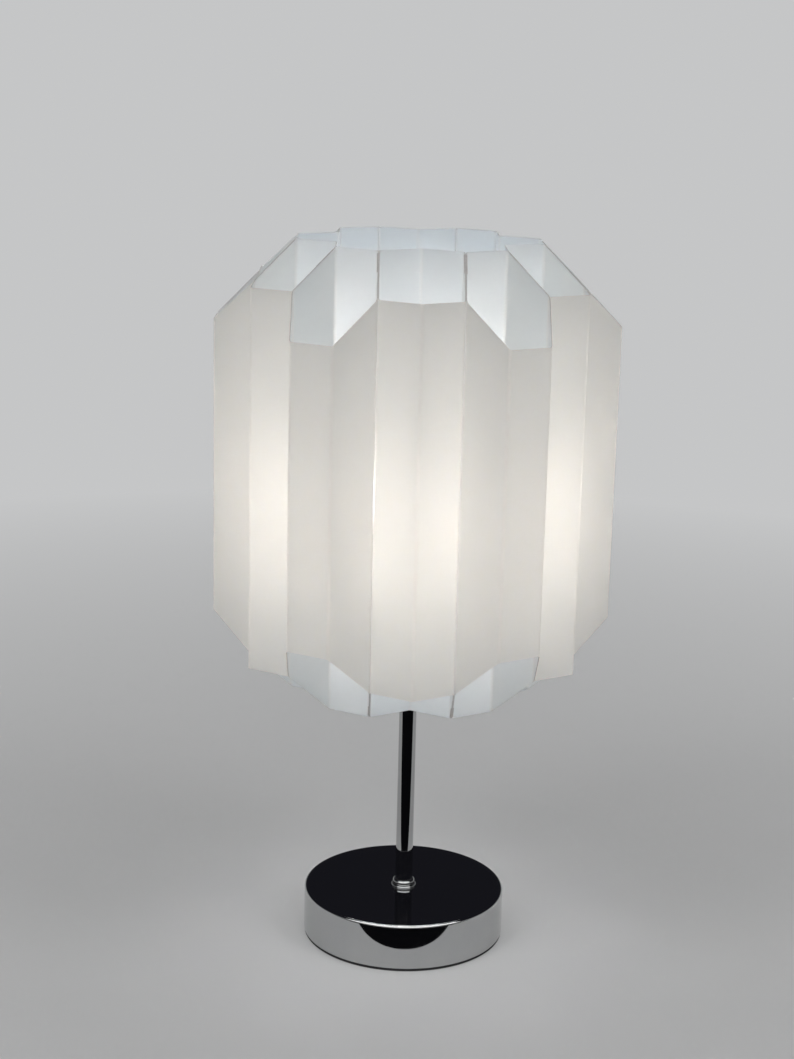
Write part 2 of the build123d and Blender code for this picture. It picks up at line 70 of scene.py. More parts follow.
def camera_axes():
    """The camera's right, up and backward directions."""
    level_ahead = Vector((math.sin(CAMERA_YAW), math.cos(CAMERA_YAW), 0))
    level_right = Vector((math.cos(CAMERA_YAW), -math.sin(CAMERA_YAW), 0))
    ahead = (level_ahead * math.cos(CAMERA_PITCH_DOWN)
             - Vector((0, 0, math.sin(CAMERA_PITCH_DOWN))))
    level_up = level_right.cross(ahead)
    right = math.cos(CAMERA_ROLL) * level_right + math.sin(CAMERA_ROLL) * level_up
    up = math.cos(CAMERA_ROLL) * level_up - math.sin(CAMERA_ROLL) * level_right
    return right, up, -ahead


print("camera looks along", [round(v, 3) for v in -camera_axes()[2]])

# %% Camera
CAMERA_PLACE = Vector((-27.9, -1316.6, 622.0)) * MM
SENSOR_LONG_SIDE = 36.0
LENS = 67.756  # for that long side of the sensor
NEAREST_SEEN, FARTHEST_SEEN = 0.05, 60.0

camera_data = bpy.data.cameras.new("camera")
camera_data.lens = LENS
camera_data.sensor_width = SENSOR_LONG_SIDE
camera_data.clip_start = NEAREST_SEEN
camera_data.clip_end = FARTHEST_SEEN
camera = bpy.data.objects.new("camera", camera_data)
bpy.context.scene.collection.objects.link(camera)
camera_turn = Matrix(camera_axes()).transposed().to_4x4()
camera.matrix_world = Matrix.Translation(CAMERA_PLACE) @ camera_turn
bpy.context.scene.camera = camera
bpy.context.scene.view_settings.view_transform = "Standard"
print("camera at", [round(v, 3) for v in camera.location])

# %% [markdown]
# ## Helpers for finishes
# A finish is a node tree on a Principled shader. It could be one flat colour, but no real surface
# is the same all over. So a noise mixes two close colours, moves the roughness and gives a fine
# bump. The noise reads Object coordinates, which keep a pattern on its piece when the piece turns.
# Values that are the same all over go on the shader's own sockets.


# %% A finish and its nodes
def new_finish(name, **constants):
    """A material with one Principled shader, whose named sockets get constant values."""
    material = bpy.data.materials.new(name)
    material.use_nodes = True
    shader = material.node_tree.nodes["Principled BSDF"]
    for socket, value in constants.items():
        shader.inputs[socket.replace("_", " ")].default_value = value
    return material, material.node_tree, shader


def add_node(tree, kind, **settings):
    """A node of that kind; settings name its properties, or its inputs by name."""
    node = tree.nodes.new(kind)
    for key, value in settings.items():
        if hasattr(node, key):
            setattr(node, key, value)
        else:
            node.inputs[key.replace("_", " ")].default_value = value
    return node


# %% A noise, and what it steers
NOISE_LOW, NOISE_HIGH = 0.3, 0.7  # nearly all of a noise's values lie between these


def noise(tree, size, detail=3.0, stretch=(1, 1, 1)):
    """A noise whose blots are about size metres wide, stretched along the axes."""
    place = add_node(tree, "ShaderNodeTexCoord")
    scaled = add_node(tree, "ShaderNodeMapping", Scale=[1 / s for s in stretch])
    blots = add_node(tree, "ShaderNodeTexNoise", Scale=1 / size, Detail=detail)
    tree.links.new(place.outputs["Object"], scaled.inputs["Vector"])
    tree.links.new(scaled.outputs["Vector"], blots.inputs["Vector"])
    return blots.outputs["Fac"]


def between(tree, value, low, high, start=NOISE_LOW, stop=NOISE_HIGH):
    """Maps a value from start..stop to low..high, and no further."""
    node = add_node(tree, "ShaderNodeMapRange", From_Min=start, From_Max=stop, To_Min=low,
                    To_Max=high)
    tree.links.new(value, node.inputs["Value"])
    return node.outputs["Result"]


def mix_colours(tree, share, first, second):
    """A colour between first and second; each is a colour or another node's output."""
    node = add_node(tree, "ShaderNodeMix", data_type="RGBA")
    colour_inputs = (node.inputs[6], node.inputs[7])
    tree.links.new(share, node.inputs[0])
    for socket, colour in zip(colour_inputs, (first, second)):
        if isinstance(colour, bpy.types.NodeSocket):
            tree.links.new(colour, socket)
        else:
            socket.default_value = (*colour, 1)
    return node.outputs[2]


# %% Shaders, sums and bumps
def mix_shaders(tree, share, first, second):
    """Mixes two shaders; share is an output that says how much of the second shows."""
    node = add_node(tree, "ShaderNodeMixShader")
    tree.links.new(share, node.inputs["Fac"])
    tree.links.new(first, node.inputs[1])
    tree.links.new(second, node.inputs[2])
    return node.outputs["Shader"]


def calculate(tree, operation, first, second, **settings):
    """A Math node on two outputs."""
    node = add_node(tree, "ShaderNodeMath", operation=operation, **settings)
    tree.links.new(first, node.inputs[0])
    tree.links.new(second, node.inputs[1])
    return node.outputs[0]


def bump(tree, height, depth, shader):
    """Turns a height between 0 and 1 into a bump that is depth metres deep."""
    node = add_node(tree, "ShaderNodeBump", Distance=depth)
    tree.links.new(height, node.inputs["Height"])
    tree.links.new(node.outputs["Normal"], shader.inputs["Normal"])


# %% A mottled finish
GRAIN_DETAIL = 2.0


def mottled_finish(name, colours, blot, roughness, grain, grain_depth, **constants):
    """A finish that varies between two colours and two roughnesses, over a fine grain."""
    material, tree, shader = new_finish(name, **constants)
    patches = noise(tree, blot)
    colour = mix_colours(tree, between(tree, patches, 0, 1), *colours)
    tree.links.new(colour, shader.inputs["Base Color"])
    tree.links.new(between(tree, patches, *roughness), shader.inputs["Roughness"])
    bump(tree, noise(tree, grain, GRAIN_DETAIL), grain_depth, shader)
    print(name, "varies over", round(blot / MM, 1), "mm, grain", round(grain / MM, 2), "mm")
    return material


# %% [markdown]
# ## Finish: shade paper
# The shade is smooth white paper with a lamp behind it. The side that the bulb lights directly
# looks cool white, and light that has come through a sheet looks warm. Subsurface scattering could
# do this, but it is meant for solid bodies and is grainy in a sheet of half a millimetre. So the
# sheet mixes a matt shader with a translucent one of a warmer colour. The matt shader's colour is
# painted cooler on the lamp's side: painted light, as the paper is the same on both sides. A weak
# painted glow, warm outside and cool on the lamp's side, stands for the light that wanders inside
# the sheet and comes out evenly. A soft cloudiness, as pulp has, and a very fine fibre bump keep it
# from looking like plastic. The bent folds let a little more through. Attributes on the faces say
# which side and which fold they are.

# %% The paper's colours and how much light it lets through
OUTER_SIDE, OUTER_SIDE_CLOUDS = (0.95, 0.922, 0.878), (0.935, 0.903, 0.858)
# Painted light: the lamp side's cooler colours stand for the bulb's light, not for another paper.
LAMP_SIDE_PAINTED_COOL, LAMP_SIDE_PAINTED_COOL_CLOUDS = (0.80, 0.87, 0.93), (0.785, 0.855, 0.917)
LETS_THROUGH, LETS_THROUGH_CLOUDS = (0.985, 0.96, 0.93), (0.973, 0.946, 0.913)
# Painted glow of the paper itself, standing for the bulb's light: warm outside, cool on the lamp's
# side.
OUTER_PAINTED_GLOW, LAMP_SIDE_PAINTED_GLOW = (1.0, 0.93, 0.84), (0.57, 0.69, 0.79)
PAPER_PAINTED_GLOW = 0.21
PAPER_TRANSLUCENCY, FOLD_TRANSLUCENCY = 0.67, 0.75
PAPER_ROUGHNESS, PAPER_SHINE = 0.82, 0.25
CLOUD_SIZE, CLOUD_DETAIL = 7 * MM, 5.0
FIBRE_SIZE, FIBRE_DETAIL, FIBRE_STRETCH, FIBRE_DEPTH = 0.35 * MM, 4.0, (1, 1, 3), 0.02 * MM
print("paper lets through", PAPER_TRANSLUCENCY, "and at the folds", FOLD_TRANSLUCENCY)


# %% Shade paper
def shade_paper():
    """Paper that lets warm light through, with painted light: a cool colour on its lamp side and a
    faint glow.
    """
    material, tree, sheet = new_finish("shade_paper", Roughness=PAPER_ROUGHNESS,
                                       Specular_IOR_Level=PAPER_SHINE,
                                       Emission_Strength=PAPER_PAINTED_GLOW)
    clouds = between(tree, noise(tree, CLOUD_SIZE, CLOUD_DETAIL), 0, 1)
    marks = {name: add_node(tree, "ShaderNodeAttribute", attribute_name=name).outputs["Fac"]
             for name in ("lamp_side", "fold")}
    # Painted light: faces on the lamp's side get the cooler colour.
    colour = mix_colours(tree, marks["lamp_side"],
                         mix_colours(tree, clouds, OUTER_SIDE, OUTER_SIDE_CLOUDS),
                         mix_colours(tree, clouds, LAMP_SIDE_PAINTED_COOL, LAMP_SIDE_PAINTED_COOL_CLOUDS))
    tree.links.new(colour, sheet.inputs["Base Color"])
    # Painted glow, cooler on the lamp's side.
    painted_glow_colour = mix_colours(tree, marks["lamp_side"], OUTER_PAINTED_GLOW, LAMP_SIDE_PAINTED_GLOW)
    tree.links.new(painted_glow_colour, sheet.inputs["Emission Color"])
    bump(tree, noise(tree, FIBRE_SIZE, FIBRE_DETAIL, FIBRE_STRETCH), FIBRE_DEPTH, sheet)
    through = add_node(tree, "ShaderNodeBsdfTranslucent")
    tree.links.new(mix_colours(tree, clouds, LETS_THROUGH, LETS_THROUGH_CLOUDS),
                   through.inputs["Color"])
    share = between(tree, marks["fold"], PAPER_TRANSLUCENCY, FOLD_TRANSLUCENCY, 0, 1)
    paper = mix_shaders(tree, share, sheet.outputs["BSDF"], through.outputs["BSDF"])
    tree.links.new(paper, tree.nodes["Material Output"].inputs["Surface"])
    return material


PAPER = shade_paper()
print(PAPER.name, "has", len(PAPER.node_tree.nodes), "nodes")

# %% [markdown]
# ## Finish: the paper's cut edge
# Where the knife went through, the sheet shows its core, which is rough. Its colour is painted a
# little darker and pinker than the faces: painted shade, for the thin dark lines that the cut ends
# show in the lit shade. The paper's own finish could run on over the edge, but then these lines
# would be lost in its painted glow, so the edge gets a finish of its own.

# %% Cut edge of the paper
# The darker, pinker tone is painted shade along the cut ends.
CUT_EDGE_PAINTED_SHADE = mottled_finish("paper_cut_edge_painted_shade", colours=((0.73, 0.69, 0.675), (0.66, 0.625, 0.61)),
                          blot=2 * MM, roughness=(0.85, 0.95), grain=0.2 * MM,
                          grain_depth=0.02 * MM)

# %% [markdown]
# ## The flutes of the shade
# Each flute is one sheet, folded to a six-sided tube and glued to its neighbours. Bending a flat
# sheet could be animated or simulated, but a fold is simply a rounded corner. So a flute starts as
# the outline of its lower end and is extruded upwards. Its ends are then cut with planes, as with a
# knife, and last the sheet gets its thickness.
#
# The flutes lie like cells of a honeycomb. The middle of a side flute is three folds' pitches from
# the pole, so its place and its box give every size of the shade.

# %% Sizes of the flutes, from the frame
FLUTES_OF_EACH_KIND = 6
WALLS = 6
HALF_WALL_TURN = math.pi / WALLS  # half the angle that a wall spans, seen from the flute's middle
SIDE_FLUTE_PITCHES = 3
FOLD_RADIUS = 2.5 * MM
FOLD_STEPS = 6
PAPER_THICKNESS = 0.5 * MM
fold_corner = FOLD_RADIUS * math.tan(HALF_WALL_TURN)  # how far a fold's round reaches into a wall
side_low, side_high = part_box("side_flute_1")
outer_apothem = (side_high.x - side_low.x) / 2
fold_pitch = abs(side_low.y + side_high.y) / 2 / SIDE_FLUTE_PITCHES
apothem = fold_pitch * math.cos(HALF_WALL_TURN)
shade_middle = (side_low.z + side_high.z) / 2
inner_half = (side_high.z - side_low.z) / 2
middle_half = inner_half - apothem
shade_floor = Vector((0, 0, shade_middle - inner_half))
print("fold pitch", round(fold_pitch / MM, 2), "mm")
print("shade", round(2 * inner_half / MM, 1), "mm high")


# %% Fold the outline
def folded_outline(bm, centre):
    """The outline of a flute at the lower end: six corners, each rounded to the fold's radius."""
    bmesh.ops.create_circle(bm, cap_ends=True, segments=WALLS,
                            radius=outer_apothem / math.cos(HALF_WALL_TURN))
    bmesh.ops.bevel(bm, geom=bm.verts[:], offset=fold_corner, segments=FOLD_STEPS, profile=0.5,
                    affect="VERTICES", material=-1)
    bmesh.ops.delete(bm, geom=bm.faces[:], context="FACES_ONLY")
    bmesh.ops.translate(bm, verts=bm.verts[:], vec=centre + shade_floor)


# %% [markdown]
# ### The glue flap
# The two ends of a sheet meet in the wall that is glued to a neighbour. There the sheet overlaps
# itself: its end lies as a flap against the inside of the wall. It is one straight line in the
# outline, a hair away from the wall, and is extruded and cut with the rest.

# %% Glue flap
GLUE_FLAP_WIDTH = 12.0 * MM
GLUE_GAP = 0.02 * MM


def glue_flap(bm, centre, heading, flap_turn):
    """Adds the flap's line, inside the wall that faces flap_turn away from the heading."""
    normal = Vector((math.cos(heading + flap_turn), math.sin(heading + flap_turn), 0))
    along = Vector((-normal.y, normal.x, 0)) * math.copysign(1, flap_turn)
    depth = outer_apothem - PAPER_THICKNESS - GLUE_GAP
    first_bend = outer_apothem * math.tan(HALF_WALL_TURN) - fold_corner
    wall_foot = centre + normal * depth + shade_floor
    ends = [bm.verts.new(wall_foot + along * (first_bend - width))
            for width in (0, GLUE_FLAP_WIDTH)]
    bm.edges.new(ends)


# %% [markdown]
# ### The cut ends
# The ends of the flutes make a stepped dome. A corner flute is cut by one slope of 45 degrees over
# its whole width. A side flute is level next to the hollow, slopes along its two glued walls, where
# it has to meet its neighbours' cuts, and is level again outside. A boolean could cut the ends, but
# bisect_plane cuts an open sheet just as cleanly and leaves nothing to mend.

# %% Cut the ends
SAME_PLACE = 1e-7
SIDE_SLOPE = (2.5, 3.5)  # where the slope starts and stops, in fold pitches from the pole
CORNER_SLOPE = (3, 5)  # the same for a corner flute, in apothems from the pole


def cut_end(bm, direction, end, start, stop, level_part=None):
    """Cuts off what lies beyond the line from start to stop, (radius, half height) points.

    end is 1 for the upper end and -1 for the lower one. A flute with a level_part keeps all of its
    sheet up to that half height.
    """
    (radius, half), (far_radius, far_half) = start, stop
    slope = Vector((half - far_half, far_radius - radius)).normalized()
    place = direction * radius + Vector((0, 0, shade_middle + end * half))
    normal = direction * slope.x + Vector((0, 0, end * slope.y))
    beyond = bm.faces[:]
    if level_part is not None:
        level = Vector((0, 0, shade_middle + end * level_part))
        bmesh.ops.bisect_plane(bm, geom=bm.verts[:] + bm.edges[:] + bm.faces[:], dist=SAME_PLACE,
                               plane_co=level, plane_no=(0, 0, end))
        beyond = [f for f in bm.faces if (f.calc_center_median() - level).z * end > 0]
    edges = {e for f in beyond for e in f.edges}
    verts = {v for f in beyond for v in f.verts}
    parts = bmesh.ops.bisect_plane(bm, geom=[*verts, *edges, *beyond], dist=SAME_PLACE,
                                   plane_co=place, plane_no=normal)["geom"]
    offcuts = [f for f in parts if isinstance(f, bmesh.types.BMFace)
               and (f.calc_center_median() - place).dot(normal) > 0]
    bmesh.ops.delete(bm, geom=offcuts, context="FACES")


def cut_both_ends(bm, node, direction):
    """Cuts the ends of a side flute or of a corner flute."""
    for end in (1, -1):
        if node.startswith("side"):
            start, stop = (pitches * fold_pitch for pitches in SIDE_SLOPE)
            cut_end(bm, direction, end, (start, inner_half), (stop, middle_half),
                    level_part=middle_half)
        else:
            start, stop = (apothems * apothem for apothems in CORNER_SLOPE)
            cut_end(bm, direction, end, (start, inner_half), (stop, inner_half - (stop - start)))


# %% [markdown]
# ### Sides, folds and cut edges
# The paper's finish has to know which way a face looks, because the lamp's side gets the painted
# cool colour and glow. Normals tell: a face inside the tube looks at the tube's middle, and one on
# the hollow looks at the pole, and both are on the lamp's side. It could be painted on by hand, but
# the faces can be asked one by one.

# %% Turn the faces outwards and mark them
LOOKS_AT_POLE = -0.4  # a face whose normal points inwards more than this looks at the pole
CUT_EDGE_RISE = 0.2  # a face whose normal rises or falls more than this is a cut edge
FOLD_REACH = FOLD_RADIUS / 1.5
PAPER_CREASE = math.radians(40)


def face_outwards(bm, centre):
    """Turns the faces whose normals point at the flute's middle."""
    bm.normal_update()
    inwards = [f for f in bm.faces if f.normal.dot(f.calc_center_median() - centre) < 0]
    bmesh.ops.reverse_faces(bm, faces=inwards)


def mark_creases(bm, crease):
    """Edges bent more than the crease, and edges of one face only, stay sharp."""
    for edge in bm.edges:
        edge.smooth = len(edge.link_faces) == 2 and edge.calc_face_angle() < crease


def mark_faces(bm, centre):
    """Marks the folds and the lamp's side, which gets painted light, and gives the cut edges their
    finish of painted shade.
    """
    fold = bm.faces.layers.float.new("fold")
    lamp_side = bm.faces.layers.float.new("lamp_side")
    reach = outer_apothem / math.cos(HALF_WALL_TURN)
    turns = [2 * HALF_WALL_TURN * k for k in range(WALLS)]
    corners = [centre.xy + Vector((math.sin(turn), math.cos(turn))) * reach for turn in turns]
    bm.normal_update()
    for face in bm.faces:
        middle = face.calc_center_median().xy
        in_tube = face.normal.xy.dot(middle - centre.xy) < 0
        on_hollow = face.normal.xy.dot(centre.xy.normalized()) < LOOKS_AT_POLE
        # These faces get the painted cool light and the cool painted glow.
        face[lamp_side] = float(in_tube or on_hollow)
        is_cut = abs(face.normal.z) > CUT_EDGE_RISE
        face.smooth = not is_cut
        # Cut edges get the finish with painted shade.
        if is_cut:
            face.material_index = 1
        elif min((middle - corner).length for corner in corners) < FOLD_REACH:
            face[fold] = 1.0
    mark_creases(bm, PAPER_CREASE)


# %% Make a mesh a piece of the lamp
def place_piece(bm, name, node, body, slot, *materials):
    """Makes the mesh an object that stands for a node and rides on its body."""
    mesh = bpy.data.meshes.new(name)
    bm.to_mesh(mesh)
    bm.free()
    for material in materials:
        mesh.materials.append(material)
    piece = bpy.data.objects.new(name, mesh)
    bpy.context.scene.collection.objects.link(piece)
    piece.modifiers.new("even shading", "WEIGHTED_NORMAL").keep_sharp = True
    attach(piece, body)
    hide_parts(node)
    print(name, "has", len(mesh.polygons), "faces")


# %% Fold the twelve flutes
SIDE_FLAP_TURN = math.radians(90)
CORNER_FLAP_TURN = math.radians(120)


def fold_flute(node, flap_turn):
    """One finished flute for a CAD node; the flaps of the right half mirror the left half's."""
    low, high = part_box(node)
    centre = Vector(((low.x + high.x) / 2, (low.y + high.y) / 2, 0))
    heading = math.atan2(centre.y, centre.x)
    bm = bmesh.new()
    folded_outline(bm, centre)
    glue_flap(bm, centre, heading, -flap_turn if centre.x > outer_apothem / 2 else flap_turn)
    raised = bmesh.ops.extrude_edge_only(bm, edges=bm.edges[:])["geom"]
    bmesh.ops.translate(bm, verts=[v for v in raised if isinstance(v, bmesh.types.BMVert)],
                        vec=(0, 0, 2 * inner_half))
    cut_both_ends(bm, node, centre.normalized())
    face_outwards(bm, centre)
    bmesh.ops.solidify(bm, geom=bm.faces[:], thickness=PAPER_THICKNESS)
    mark_faces(bm, centre)
    place_piece(bm, "paper_" + node, node, "shade", "shade_paper", PAPER, CUT_EDGE_PAINTED_SHADE)


for number in range(1, FLUTES_OF_EACH_KIND + 1):
    fold_flute(f"side_flute_{number}", SIDE_FLAP_TURN)
    fold_flute(f"corner_flute_{number}", CORNER_FLAP_TURN)

# %% [markdown]
# ## Finish: chrome
# The foot, the collar and the pole are chromed. Chrome is a mirror that sends back a little over
# half of the light, nearly without colour. A mirror that is even all over looks unreal, because
# polish and fingers always leave faint differences in the gloss. A slow noise gives these smears,
# and another bends the mirror by two thousandths of a millimetre, as a polishing wheel does.

# %% Chrome
CHROME_COLOURS = (0.56, 0.565, 0.565), (0.535, 0.542, 0.545)
CHROME_ROUGHNESS = 0.025, 0.055
SMEAR_SIZE, SMEAR_DETAIL, SMEAR_STRETCH = 18 * MM, 4.0, (1, 1, 2)
POLISH_SIZE, POLISH_DETAIL, POLISH_DEPTH = 9 * MM, 1.0, 0.002 * MM


def chrome():
    """Bright chrome with faint smears in its gloss."""
    material, tree, shader = new_finish("chrome", Metallic=1.0)
    smears = noise(tree, SMEAR_SIZE, SMEAR_DETAIL, SMEAR_STRETCH)
    tint = mix_colours(tree, between(tree, smears, 0, 1), *CHROME_COLOURS)
    tree.links.new(tint, shader.inputs["Base Color"])
    tree.links.new(between(tree, smears, *CHROME_ROUGHNESS), shader.inputs["Roughness"])
    bump(tree, noise(tree, POLISH_SIZE, POLISH_DETAIL), POLISH_DEPTH, shader)
    return material


FINISHES = {"shade_paper": PAPER, "chrome": chrome()}
print("chrome's roughness runs from", *CHROME_ROUGHNESS)

# %% [markdown]
# ## Finishes inside the foot
# The pad is closed foam with open pores, so it is nearly black and rough. The weight is cast iron
# with the skin of the mould. The bush is moulded rubber, smoother than the foam. Nuts, washer and
# rods are zinced steel, and the contacts are brass. They could share one grey, as little of them
# shows, but each has its own grain and gloss, and only the numbers differ from finish to finish.


# %% Pad, weight, bush, steel and brass
def slot_finish(slot, **look):
    """Makes the mottled finish of one of the record's slots."""
    FINISHES[slot] = mottled_finish(slot, **look)


slot_finish("foot_pad_foam", colours=((0.018, 0.018, 0.02), (0.035, 0.035, 0.037)), blot=2 * MM,
            roughness=(0.85, 0.98), grain=0.5 * MM, grain_depth=0.15 * MM)
slot_finish("weight_iron", colours=((0.10, 0.10, 0.105), (0.15, 0.145, 0.14)), blot=6 * MM,
            roughness=(0.6, 0.85), grain=0.8 * MM, grain_depth=0.12 * MM, Metallic=0.6)
slot_finish("black_rubber", colours=((0.022, 0.022, 0.022), (0.03, 0.03, 0.031)), blot=3 * MM,
            roughness=(0.5, 0.62), grain=0.3 * MM, grain_depth=0.02 * MM)
slot_finish("zinc_steel", colours=((0.62, 0.63, 0.64), (0.56, 0.57, 0.55)), blot=4 * MM,
            roughness=(0.28, 0.42), grain=0.4 * MM, grain_depth=0.01 * MM, Metallic=1.0)
slot_finish("brass", colours=((0.78, 0.6, 0.3), (0.7, 0.52, 0.25)), blot=5 * MM,
            roughness=(0.22, 0.38), grain=0.4 * MM, grain_depth=0.01 * MM, Metallic=1.0)

# %% [markdown]
# ## Finishes of the lampholder and the carrier
# The lampholder and its clamping ring are white moulded plastic with a soft gloss, and its core is
# glazed ceramic. The carrier's wires are painted, and paint dries glossier than the clips, which
# are moulded with a dull skin. One white for all would be quicker, but where the lit shade shows
# them side by side, the eye tells them apart by their gloss.

# %% Plastic, ceramic and painted wire
slot_finish("white_plastic", colours=((0.86, 0.86, 0.85), (0.84, 0.84, 0.825)), blot=9 * MM,
            roughness=(0.34, 0.44), grain=0.5 * MM, grain_depth=0.008 * MM)
slot_finish("core_ceramic", colours=((0.88, 0.87, 0.84), (0.85, 0.835, 0.80)), blot=5 * MM,
            roughness=(0.3, 0.5), grain=0.6 * MM, grain_depth=0.02 * MM)
slot_finish("white_wire", colours=((0.85, 0.85, 0.84), (0.82, 0.82, 0.81)), blot=6 * MM,
            roughness=(0.3, 0.42), grain=0.7 * MM, grain_depth=0.02 * MM)
slot_finish("clip_plastic", colours=((0.87, 0.87, 0.86), (0.84, 0.84, 0.83)), blot=7 * MM,
            roughness=(0.42, 0.55), grain=0.4 * MM, grain_depth=0.01 * MM)

# %% [markdown]
# ## Finishes of the bulb
# The bulb has a nickelled screw cap, a black glass insulator, a white housing and an opal globe.
# The globe's finish glows. It could be left to a lamp alone, but then the globe would look dark
# between the flutes.

# %% Cap, insulator, housing, board and glowing globe
slot_finish("nickel", colours=((0.7, 0.68, 0.64), (0.64, 0.625, 0.59)), blot=5 * MM,
            roughness=(0.2, 0.34), grain=0.3 * MM, grain_depth=0.006 * MM, Metallic=1.0)
slot_finish("bulb_insulator", colours=((0.045, 0.045, 0.05), (0.06, 0.06, 0.065)), blot=3 * MM,
            roughness=(0.08, 0.16), grain=0.6 * MM, grain_depth=0.01 * MM)
slot_finish("bulb_housing", colours=((0.88, 0.88, 0.87), (0.86, 0.86, 0.845)), blot=8 * MM,
            roughness=(0.26, 0.36), grain=0.5 * MM, grain_depth=0.006 * MM)
slot_finish("bulb_board", colours=((0.8, 0.8, 0.78), (0.74, 0.74, 0.72)), blot=5 * MM,
            roughness=(0.4, 0.6), grain=0.3 * MM, grain_depth=0.01 * MM)
BULB_COLOUR = (1.0, 0.955, 0.94, 1)
BULB_STRENGTH = 5.4
slot_finish("bulb_opal", colours=((0.95, 0.94, 0.92), (0.93, 0.92, 0.90)), blot=10 * MM,
            roughness=(0.4, 0.5), grain=0.4 * MM, grain_depth=0.005 * MM,
            Emission_Color=BULB_COLOUR, Emission_Strength=BULB_STRENGTH)

# %% Put the finishes on the frame's nodes
for part in frame["record"]["subparts"]:
    for material_slot in frame["nodes"][part["node"]].material_slots:
        material_slot.material = FINISHES[part["material_slot"]]
print(len(FINISHES), "finishes on the frame's nodes")

# %% [markdown]
# ## The spun and turned pieces of the stand
# The foot's cover is spun from sheet metal, and the pole and its collar are turned. A mirror shows
# every flat facet, so these pieces are made smoother than the solids are. A cylinder with a bevel
# would do for the pole, but not for the cover or the collar. So half a section is drawn as one
# face, its corners are bevelled to rounds, and its outline is spun round the pole's axis. The
# rounds matter most, because they carry the bright lines of the foot's rim and of the collar.

# %% Spin a section round the pole's axis
ROUND_STEPS = 10
METAL_CREASE = math.radians(35)


def spun(section, rounds, steps):
    """Spins a closed section of (radius, height) points; rounds gives sizes by point number."""
    bm = bmesh.new()
    corners = [bm.verts.new((radius, 0, height)) for radius, height in section]
    bm.faces.new(corners)
    for number, size in rounds.items():
        bmesh.ops.bevel(bm, geom=[corners[number]], offset=size, segments=ROUND_STEPS,
                        profile=0.5, affect="VERTICES", material=-1)
    bmesh.ops.delete(bm, geom=bm.faces[:], context="FACES_ONLY")
    bmesh.ops.spin(bm, geom=bm.verts[:] + bm.edges[:], cent=(0, 0, 0), axis=(0, 0, 1),
                   angle=math.tau, steps=steps, use_merge=True)
    bmesh.ops.remove_doubles(bm, verts=bm.verts[:], dist=SAME_PLACE)
    loose = [e for e in bm.edges if not e.link_faces]
    bmesh.ops.delete(bm, geom=loose, context="EDGES")
    bmesh.ops.recalc_face_normals(bm, faces=bm.faces[:])
    return bm


def finish_spun(bm, name, node, slot):
    """Smooths a spun mesh but for its creases, and makes it a piece of the stand."""
    for face in bm.faces:
        face.smooth = True
    mark_creases(bm, METAL_CREASE)
    place_piece(bm, name, node, "stand", slot, FINISHES[slot])


# %% [markdown]
# ## The foot's cover
# The cover is a shallow pan of thin sheet, turned upside down. Its top runs into its wall over a
# small round, its edge is rolled a little, and the lead's bush sits in a hole in its back. The hole
# could be cut by a boolean with a cylinder. Here planes cut the wall along the hole's many sides,
# what is left in the middle is taken out, and the two rims are bridged.

# %% Cut a round hole through a wall
HOLE_SIDES = 24
HOLE_NEARBY = 3  # only faces within so many radii of the hole are cut


def cut_round_hole(bm, centre, radius):
    """Cuts a hole along Y through both skins of a wall, and joins the two rims."""
    near = HOLE_NEARBY * radius
    core = [f for f in bm.faces if (f.calc_center_median() - centre).length < near
            and min(v.co.z for v in f.verts) < centre.z - radius
            and max(v.co.z for v in f.verts) > centre.z + radius]
    for side in range(HOLE_SIDES):
        turn = side * math.tau / HOLE_SIDES
        normal = Vector((math.cos(turn), 0, math.sin(turn)))
        edges = {e for f in core for e in f.edges}
        verts = {v for f in core for v in f.verts}
        parts = bmesh.ops.bisect_plane(bm, geom=[*verts, *edges, *core], dist=SAME_PLACE,
                                       plane_co=centre + normal * radius, plane_no=normal)["geom"]
        core = [f for f in parts if isinstance(f, bmesh.types.BMFace)
                and (f.calc_center_median() - centre).dot(normal) < radius]
    bmesh.ops.delete(bm, geom=core, context="FACES")
    bmesh.ops.bridge_loops(bm, edges=[e for e in bm.edges if len(e.link_faces) == 1])


# %% Foot cover
COVER_SHEET = 0.8 * MM
COVER_RIM, COVER_RIM_INSIDE, COVER_LIP = 1.9 * MM, 1.1 * MM, 0.3 * MM
COVER_STEPS = 240
ROD_HOLE = 5.3 * MM
BUSH_HOLE = 4.45 * MM
HOLE_ZONE = 14 * MM  # the wall is one tall face up to here, so that the hole lies in one row
foot_low, foot_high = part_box("base_cover")
foot_radius, foot_top, cover_edge = foot_high.x, foot_high.z, foot_low.z
inside, under_top = foot_radius - COVER_SHEET, foot_top - COVER_SHEET
zone_top = cover_edge + HOLE_ZONE
cover_section = [(ROD_HOLE, foot_top), (foot_radius, foot_top), (foot_radius, zone_top),
                 (foot_radius, cover_edge), (inside, cover_edge), (inside, zone_top),
                 (inside, under_top), (ROD_HOLE, under_top)]
cover = spun(cover_section, {1: COVER_RIM, 6: COVER_RIM_INSIDE, 3: COVER_LIP, 4: COVER_LIP},
             COVER_STEPS)
bush_low, bush_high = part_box("cord_grommet")
bush_height = (bush_low.z + bush_high.z) / 2
cut_round_hole(cover, Vector((0, foot_radius - COVER_SHEET / 2, bush_height)), BUSH_HOLE)
finish_spun(cover, "chromed_cover", "base_cover", "chrome")

# %% [markdown]
# ## The pole
# The pole is a stock tube whose ends are faced and just broken with a file. It could stay as the
# frame has it, but a tall mirror shows its facets as stripes, so it is spun again with finer ones.

